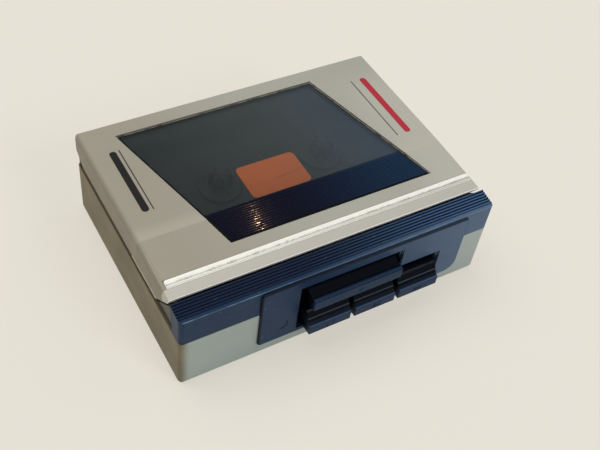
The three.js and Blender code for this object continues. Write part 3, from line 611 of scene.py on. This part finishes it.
# ---- deck label ----
# A blank orange paper label with round corners is stuck to the deck and shows through the
# window. It is faded, with a fold across its right half.
label_paper = Finish("label_paper")
fade = label_paper.noise(5, 4)
paper = label_paper.blend(shade("#ec7202"), shade("#e06901"), fade)
fold_line = label_paper.along("Y") - label_paper.along("X") * 0.12 - 7.6
fold = fold_line.abs().rise(0.22, 0.08) * label_paper.along("X").rise(-1, 3)
label_paper.set({"Base Color": label_paper.blend(paper, shade("#7a3c22"), fold * 0.6)})
label_paper.set({"Roughness": 0.75})
label_paper.bump(label_paper.noise(0.15, 2) + fold, 0.02)
label_low, label_high = extent("deck_label")
label_plan = rectangle(label_low.x, label_high.x, label_low.y, label_high.y)
label = upright("paper_label", label_plan, label_low.z, label_high.z)
round_edges(label, 2, lambda m, way, _: abs(way.z) > 0.9, 6)
soften(label, 0.05, 1, 50)
fit(label, "case", "orange_label", label_paper, "deck_label")


# ---- lid ----
# The lid is moulded in grey plastic and sprayed with satin silver-beige paint. Its top falls
# slightly from a crease towards the key side, where a seat holds the bright trim strip.
def rod(name, centre, radius, length):
    """A round rod along X, given in millimetres."""
    bpy.ops.object.select_all(action="DESELECT")
    turn = Vector((1, 0, 0)).to_track_quat("Z", "Y").to_euler()
    bpy.ops.mesh.primitive_cylinder_add(
        vertices=32, radius=radius * MM, depth=length * MM,
        location=Vector(centre) * MM, rotation=turn,
    )
    piece = bpy.context.object
    piece.name = name
    bpy.ops.object.transform_apply(location=True, rotation=True)
    return piece


lid_low, lid_high = extent("lid_frame")
skin = 1.8
lid_top = lid_high.z - 0.1
crease = -10.5
skirt_start, skirt_bottom = -6.6, 25.2
strip_front, strip_back, seat_floor = -31.3, -27.7, 34.0

silver_paint = Finish("silver_paint")
lid_x, lid_y, lid_z = [silver_paint.along(axis) for axis in "XYZ"]
cloud = silver_paint.noise(22, 3)
# Painted light: the paint is darker on the left and lighter towards the right.
paint_left = silver_paint.blend(shade("#a19a89"), shade("#9c9585"), cloud)
paint_right = silver_paint.blend(shade("#b0aea1"), shade("#aba99c"), cloud)
paint = silver_paint.blend(paint_left, paint_right, lid_x.rise(-55, 10))
# Painted reflection: the rear right corner is lighter.
bright_corner = lid_x.rise(32, 56) * lid_y.rise(42, 22)
paint = silver_paint.blend(paint, shade("#bbb7aa"), bright_corner)
speckle = silver_paint.noise(0.16, 1).rise(0.35, 0.7)
paint = silver_paint.blend(paint, shade("#8b877b"), speckle * 0.12)
# Painted highlight: a light band just behind the crease.
up_to_crease = lid_y.rise(crease + 7.5, crease + 0.5) - lid_y.rise(crease + 0.1, crease - 0.3)
paint = silver_paint.blend(paint, shade("#c4bdac"), up_to_crease * 0.35)
# Painted shade: the left wall is darker.
left_wall = lid_x.rise(lid_low.x + 0.5, lid_low.x + 0.1)
paint = silver_paint.blend(paint, shade("#7d715d"), left_wall * 0.65)
# Painted shade: a dark band along the left fillet.
left_rim = lid_x.rise(lid_low.x + 2, lid_low.x + 1.2)
left_rim = left_rim * lid_x.rise(lid_low.x + 0.1, lid_low.x + 0.7)
paint = silver_paint.blend(paint, shade("#7d7565"), left_rim * 0.4)
# Painted highlight: a pale line along the skirt's lower edge.
skirt_edge = lid_z.rise(skirt_bottom + 0.3, skirt_bottom + 0.1)
skirt_edge = skirt_edge * lid_y.rise(skirt_start + 0.2, skirt_start - 0.2)
paint = silver_paint.blend(paint, shade("#c9c2b2"), skirt_edge)
# Painted light: the front lip below the strip is lighter, as its slope faces the light.
lip = lid_y.rise(strip_front + 0.1, strip_front - 0.1)
paint = silver_paint.blend(paint, shade("#bfbbaf"), lip)
# Painted highlight: a near-white line along the lid's lower front edge.
lip_front = lid_y.rise(lid_low.y + 0.35, lid_low.y + 0.2)
paint = silver_paint.blend(paint, shade("#f1ece4"), lip_front)
silver_paint.set({"Base Color": paint, "Metallic": 0.15})
silver_paint.set({"Roughness": 0.42 + silver_paint.noise(6, 4) * 0.14})
silver_paint.bump(silver_paint.noise(0.2, 2), 0.006)

lid = lengthwise(
    "lid_cover",
    [
        (lid_low.y, 33.1), (-25.8, lid_low.z), (skirt_start, lid_low.z),
        (skirt_start, skirt_bottom), (39, skirt_bottom), (lid_high.y, 29.6),
        (lid_high.y, lid_top - 0.25), (lid_high.y - 0.07, lid_top - 0.07),
        (lid_high.y - 0.25, lid_top), (crease + 0.8, lid_top),
        (crease + 0.3, lid_top + 0.06), (crease, lid_top + 0.06), (crease - 0.5, lid_top - 0.08),
        (strip_front, 34.45), (lid_low.y, 33.85),
    ],
    lid_low.x,
    lid_high.x,
)


def arched(name, y, way):
    """A form with the lid's width, from y along a way. Its upper left edge is the softer one."""
    section = rectangle(lid_low.x, lid_high.x, 20, lid_top + 0.06)
    form = extruded(name, [(x, y, z) for x, z in section], way)
    round_edges(form, 0.8, lambda m, way, _: abs(way.y) > 0.9 and m.z > 30 and m.x > 0, 5)
    return round_edges(form, 2, lambda m, way, _: abs(way.y) > 0.9 and m.z > 30 and m.x < 0, 8)


fall = (0, -27, -0.89)  # the slope of the lid's top, from the crease towards the keys
form = arched("level_form", crease, (0, 60, 0))
carve(form, arched("falling_form", crease + 1, fall), "UNION")
rear_corners = upright("rear_corners", rectangle(lid_low.x, lid_high.x, -40, lid_high.y), 10, 40)
round_edges(rear_corners, 1.3, lambda m, way, _: abs(way.z) > 0.9 and m.y > 40, 6)
carve(form, rear_corners, "INTERSECT")
carve(lid, form, "INTERSECT")
lip_corner = lid_low.y + 0.1
round_edges(lid, 0.3, lambda m, way, _: abs(way.x) > 0.9 and m.y < lip_corner and m.z > 33.5, 3)
strip_low, strip_high = extent("trim_strip")
seat = rectangle(strip_front, strip_back, seat_floor, 36)
carve(lid, lengthwise("strip_seat", seat, strip_low.x - 0.12, strip_high.x + 0.12))
inside = [
    (-40, 20), (-40, 32.3), (-27.6, 32.3), (-25, lid_high.z - skin),
    (lid_high.y - skin, lid_high.z - skin), (lid_high.y - skin, 20),
]
carve(lid, lengthwise("lid_inside", inside, lid_low.x + skin, lid_high.x - skin))
window_corners = [(-32.6, -22.6), (48.4, -22.6), (32.6, 39.3), (-48.1, 39.3)]
carve(lid, upright("window_hole", window_corners, 30, 40))
pin_low, pin_high = extent("hinge_pin_left")
_, hinge_y, hinge_z = (pin_low + pin_high) / 2
boss_x, bore_x = 58.2, 57
for end in (-1, 1):
    boss = rod("boss", (end * boss_x, hinge_y, hinge_z), radius=2, length=2.6)
    carve(lid, boss, "UNION")
    carve(lid, rod("bore", (end * bore_x, hinge_y, hinge_z), radius=1.1, length=4))
    ear_room = rectangle(*sorted((end * 53.6, end * 56.7)), 41, 46)
    carve(lid, upright("ear_slot", ear_room, 24, lid_high.z - skin))
tab = [(-33.6, 32.8), (-34.6, 32.8), (-34.6, 29.4), (-34, 28.6), (-33.6, 28.6)]
carve(lid, lengthwise("catch_tab", tab, 24, 32), "UNION")
soften(lid, 0.15, 2, 40)
fit(lid, "lid", "silver_paint", silver_paint, "lid_frame")


# ---- window ----
# A pane of smoked acrylic is held in the lid by a thin black rubber gasket, with a painted
# highlight along the right and the back. In front of it lies a dark panel with fine ribs.
slant = 1.2  # how far the slanted sides move in for each millimetre at the front and back


def inset(corners, by):
    """The window's corners, moved inwards."""
    side = by * slant
    (x0, y0), (x1, _), (x2, y2), (x3, _) = corners
    return [(x0 + side, y0 + by), (x1 - side, y0 + by), (x2 - side, y2 - by), (x3 + side, y2 - by)]


def window_edge(side, y):
    """Where the left or right side of the window lies at y."""
    start, end = (window_corners[0], window_corners[3]) if side < 0 else window_corners[1:3]
    return start[0] + (y - start[1]) / (end[1] - start[1]) * (end[0] - start[0])


smoked = Finish("smoked_acrylic")
haze = smoked.noise(12, 4, (1, 1, 1), 0.6)
# Painted reflection: the pane is lighter towards the rear right and bluer towards the right.
to_rear_right = (smoked.along("X") + smoked.along("Y")).rise(-50, 75)
veil = smoked.blend(shade("#3f4647"), shade("#6f7877"), to_rear_right)
veil = smoked.blend(veil, shade("#687b8f"), smoked.along("X").rise(0, 50) * 0.75)
scratches = smoked.noise(0.5, 3, (1, 16, 1)).rise(0.66, 0.8)
veil = smoked.blend(veil, shade("#8d98a0"), scratches * 0.35)
smoked.set({"Base Color": veil, "Alpha": 0.19 + haze * 0.08})
smoked.set({"Roughness": 0.06 + haze * 0.05, "IOR": 1.49})

pane_top = extent("lid_window")[1].z
border = 0.85
inner = inset(window_corners, border)
band_edge = -8.2  # where the ribbed band ends and the pane begins
edge_left = (window_edge(-1, band_edge) + border * slant, band_edge)
edge_right = (window_edge(1, band_edge) - border * slant, band_edge)
pane_plan = [edge_left, edge_right, inner[2], inner[3]]
pane_bottom = 33.3
pane = upright("window_pane", pane_plan, pane_bottom, pane_top)
round_edges(pane, 0.15, lambda m, _, __: m.z > 34.8 and m.y > band_edge + 0.1, 2)
soften(pane, 0)
fit(pane, "lid", "smoked_acrylic", smoked, "lid_window")

gasket_rubber = Finish("gasket_rubber")
gasket_y = gasket_rubber.along("Y")
(right_x, front_y), (_, back_y) = window_corners[1:3]
lean = (window_corners[2][0] - right_x) / (back_y - front_y)
from_right = right_x + (gasket_y - front_y) * lean - gasket_rubber.along("X")
from_back = back_y - gasket_y
# Painted highlight: a pale, broken line along the right and back walls of the opening.
right_line = from_right.rise(0.3, 0.36) * from_right.rise(0.68, 0.62)
back_line = from_back.rise(0.32, 0.38) * from_back.rise(0.68, 0.62) * from_right.rise(0.3, 0.36)
lit_wall_highlight = (right_line + back_line) * gasket_rubber.noise(3, 3).rise(0.25, 0.55)
bare = gasket_rubber.blend(shade("#050506"), shade("#0b0b0c"), gasket_rubber.noise(1, 2))
gasket_rubber.set({"Base Color": gasket_rubber.blend(bare, shade("#8f897a"), lit_wall_highlight)})
gasket_rubber.set({"Roughness": 0.6, "Specular IOR Level": 0.1})
gasket = upright("window_gasket", inset(window_corners, 0.05), 33.4, 34.75)
carve(gasket, upright("gasket_hole", inner, 33, 36))
soften(gasket, 0.08, 1)
fit(gasket, "lid", "smoked_acrylic", gasket_rubber)

band_plastic = Finish("band_plastic")
# Painted light: the band is lighter and bluer towards the right.
bluer = band_plastic.along("X").rise(-10, 48)
band_tone = band_plastic.blend(shade("#0f1122"), shade("#1b3049"), bluer)
sparkle = band_plastic.noise(0.7, 2).rise(0.4, 0.62)
band_plastic.set({"Base Color": band_tone, "Roughness": 0.035 + sparkle * 0.12})
band_plastic.set({"Specular IOR Level": 0.15})
band_front = inner[0][1]
band_back = band_edge - 0.05
band_rim = pane_top - 0.3


def dished(y):
    """The height of the band's ribs, which are lowest near its middle."""
    return pane_top - 0.16 + 0.00102 * (y + 15.2) ** 2


band = lengthwise(
    "ribbed_band",
    [
        (band_front, pane_bottom), (band_front, band_rim),
        *ribs(band_front + 0.25, 13, 0.98, dished, 0.31),
        (band_back, band_rim), (band_back, pane_bottom),
    ],
    -50,
    60,
)
band_plan = [inner[0], inner[1], edge_right, edge_left]
carve(band, upright("band_plan", band_plan, 33, 36), "INTERSECT")
activate(band)
bpy.ops.object.shade_flat()
fit(band, "lid", "smoked_acrylic", band_plastic)


# ---- lid print ----
# Plain screen-printed stripes decorate the lid: black on the left, red on the right, each with
# a thin grey line on its inner side.
def stripe(name, x, width, y0, y1, finish):
    """A printed stripe with round ends along Y."""
    plan = rectangle(x - width / 2, x + width / 2, y0, y1)
    piece = upright(name, plan, lid_top - 0.05, lid_top + 0.03)
    round_edges(piece, width * 0.45, lambda m, way, _: abs(way.z) > 0.9, 4)
    soften(piece, 0)
    fit(piece, "lid", "silver_paint", finish)


def ink(name, colour, worn):
    """Screen ink whose surface shows fine pinholes and patches of wear."""
    made = Finish(name)
    wear = made.noise(0.5, 4).rise(0.62, 0.75)
    made.set({"Base Color": made.blend(shade(colour), shade(worn), wear * 0.5)})
    made.set({"Roughness": 0.5 + made.noise(2, 2) * 0.1, "Specular IOR Level": 0.25})
    return made


stripe("black_stripe", -52.2, 2.6, 1, 32, ink("black_ink", "#120f0e", "#39332c"))
stripe("black_hairline", -49.6, 0.45, 1, 32, ink("grey_ink", "#3a3733", "#7b766a"))
stripe("red_stripe", 53, 2.6, -1, 33, ink("red_ink", "#b02a38", "#c06a64"))
stripe("red_hairline", 48, 0.45, -1, 33, ink("hairline_ink", "#57564f", "#8b887d"))


# ---- trim strip ----
# A bright anodised strip lies across the lid. It has a broad rounded crown and a fine
# knurled bead along its lower edge, and it is pitted by wear.
bright_trim = Finish("bright_trim")
strip_x, strip_y = bright_trim.along("X"), bright_trim.along("Y")
pits = bright_trim.noise(0.7, 3).rise(0.66, 0.74)
slanted = strip_x + strip_y * 0.5 + bright_trim.noise(3, 2) * 1.2
tick_pitch = 0.56
ticks = slanted.math("SINE", slanted * (2 * pi / tick_pitch))
groove = strip_y.rise(-29.3, -29.55) * strip_y.rise(-30.35, -30.15)
patches = bright_trim.noise(5, 4).rise(0.36, 0.6) * bright_trim.noise(0.8, 2).rise(0.36, 0.6)
knurl = ticks.rise(-0.1, 0.6) * groove * patches
# The near-white tone is partly the strip's own bright finish and partly painted reflection of its
# crown.
metal_tone = bright_trim.blend(shade("#fffdf4"), shade("#f8f4e8"), bright_trim.noise(5, 3))
lower_edge = strip_y.rise(-29.6, -29.8) * strip_y.rise(-30.95, -30.85)
dull = lower_edge * (0.3 + strip_x.rise(-20, 55) * 0.3)
metal_tone = bright_trim.blend(metal_tone, shade("#b4b0a3"), dull)
metal_tone = bright_trim.blend(metal_tone, shade("#625e54"), knurl * 0.75 + pits * 0.35)
bright_trim.set({"Base Color": metal_tone, "Metallic": 0.1})
bright_trim.set({"Roughness": 0.32 + bright_trim.noise(2, 3) * 0.12 + pits * 0.2})
bright_trim.bump(knurl + pits * 0.4, 0.03)

strip_profile = [
    (strip_low.y, strip_low.z), (strip_low.y, 34.5), (strip_low.y + 0.05, 34.56),
    (-30.98, 34.56), (-30.94, 34.4), (-30.8, 34.4), (-30.74, 34.62), (-30.5, 34.7),
    (-30.16, 34.7), (-30.1, 34.56), (-29.96, 34.56), (-29.9, 34.78), (-29.4, 34.98),
    (-28.9, 35.1), (-28.3, 35.15), (-28, 35.12), (-27.85, 34.95), (-27.8, 34.7),
    (-27.8, strip_low.z),
]
strip = lengthwise("trim_strip_bar", strip_profile, strip_low.x, strip_high.x)
strip_plan = rectangle(strip_low.x, strip_high.x, strip_low.y, strip_high.y)
strip_ends = upright("strip_ends", strip_plan, 33, 36)
round_edges(strip_ends, 0.7, lambda m, way, _: abs(way.z) > 0.9 and m.y > -30, 4)
carve(strip, strip_ends, "INTERSECT")
soften(strip, 0.08, 2, 45)
fit(strip, "lid", "bright_trim", bright_trim, "trim_strip")


# ---- springs, clip, pins and screws ----
# Small parts of plated steel: the leaf springs and catch of the lid, the hinge pins, the
# cassette's guide pins, the battery contacts and the case screws.
def refinish(finish, *nodes):
    """Gives nodes whose shape is already right a finish."""
    for node in nodes:
        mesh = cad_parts[node].data
        mesh.materials.clear()
        mesh.materials.append(finish.material)


plated_steel = Finish("plated_steel")
brushed = plated_steel.noise(0.5, 3, (6, 1, 1))
steel_tone = plated_steel.blend(shade("#b9babb"), shade("#9a9b9d"), brushed)
plated_steel.set({"Base Color": steel_tone, "Metallic": 1.0})
plated_steel.set({"Roughness": 0.28 + brushed * 0.14})
plated_steel.bump(brushed, 0.004)
refinish(
    plated_steel,
    "hinge_pin_left", "hinge_pin_right", "cassette_spring_left", "cassette_spring_right",
    "lid_clip", "guide_pin_left", "guide_pin_right", "pinch_pivot", "battery_spring_plate",
    "battery_plate", "case_screw_1", "case_screw_2", "case_screw_3", "case_screw_4",
    "board_screw", "mechanism_plate", "motor", "volume_control", "battery_spring",
    "key_latch", "head_plate", "pinch_arm", "capstan_shaft",
)


# ---- tape path ----
# The playback head stands on its sliding plate, beside the capstan and its rubber pinch
# roller. Two black spindles turn the cassette's hubs.
head_metal = Finish("head_metal")
polish = head_metal.noise(0.8, 3, (1, 1, 6))
head_metal.set({"Base Color": head_metal.blend(shade("#dcdad4"), shade("#bdbbb5"), polish)})
head_metal.set({"Metallic": 1.0, "Roughness": 0.14 + polish * 0.1})
refinish(head_metal, "tape_head")

brass = Finish("brass")
tarnish = brass.noise(2, 4)
brass.set({"Base Color": brass.blend(shade("#c8a25c"), shade("#9c7838"), tarnish)})
brass.set({"Metallic": 1.0, "Roughness": 0.25 + tarnish * 0.2})
refinish(brass, "flywheel", "capstan_bearing", "motor_pulley")
refinish(brass, "head_screw_left", "head_screw_right")

rubber = Finish("rubber")
bloom = rubber.noise(1.5, 4)
rubber.set({"Base Color": rubber.blend(shade("#1c1c1e"), shade("#2c2b2a"), bloom)})
rubber.set({"Roughness": 0.8 + bloom * 0.1})
rubber.bump(rubber.noise(0.1, 2), 0.01)
refinish(rubber, "pinch_roller", "drive_belt")
refinish(deck_black, "supply_spindle", "take_up_spindle", "amplifier_chip")
refinish(deck_black, "capacitor_left", "capacitor_right")


# ---- gears, board and sockets ----
# The gears are white acetal. The circuit board is brown laminate with its parts soldered on.
acetal = Finish("acetal")
grease = acetal.noise(2.5, 4).rise(0.5, 0.75)
acetal.set({"Base Color": acetal.blend(shade("#dedbd0"), shade("#b9a988"), grease * 0.6)})
acetal.set({"Roughness": 0.45 - grease * 0.2})
refinish(acetal, "capstan_pinion", "idler_gear", "take_up_gear")

laminate = Finish("laminate")
fibres = laminate.noise(0.6, 3, (5, 1, 1))
laminate.set({"Base Color": laminate.blend(shade("#7a6230"), shade("#5f4a22"), fibres)})
laminate.set({"Roughness": 0.55 + fibres * 0.15})
refinish(laminate, "circuit_board")
refinish(deck_black, "headphone_socket", "power_socket", "volume_wheel")
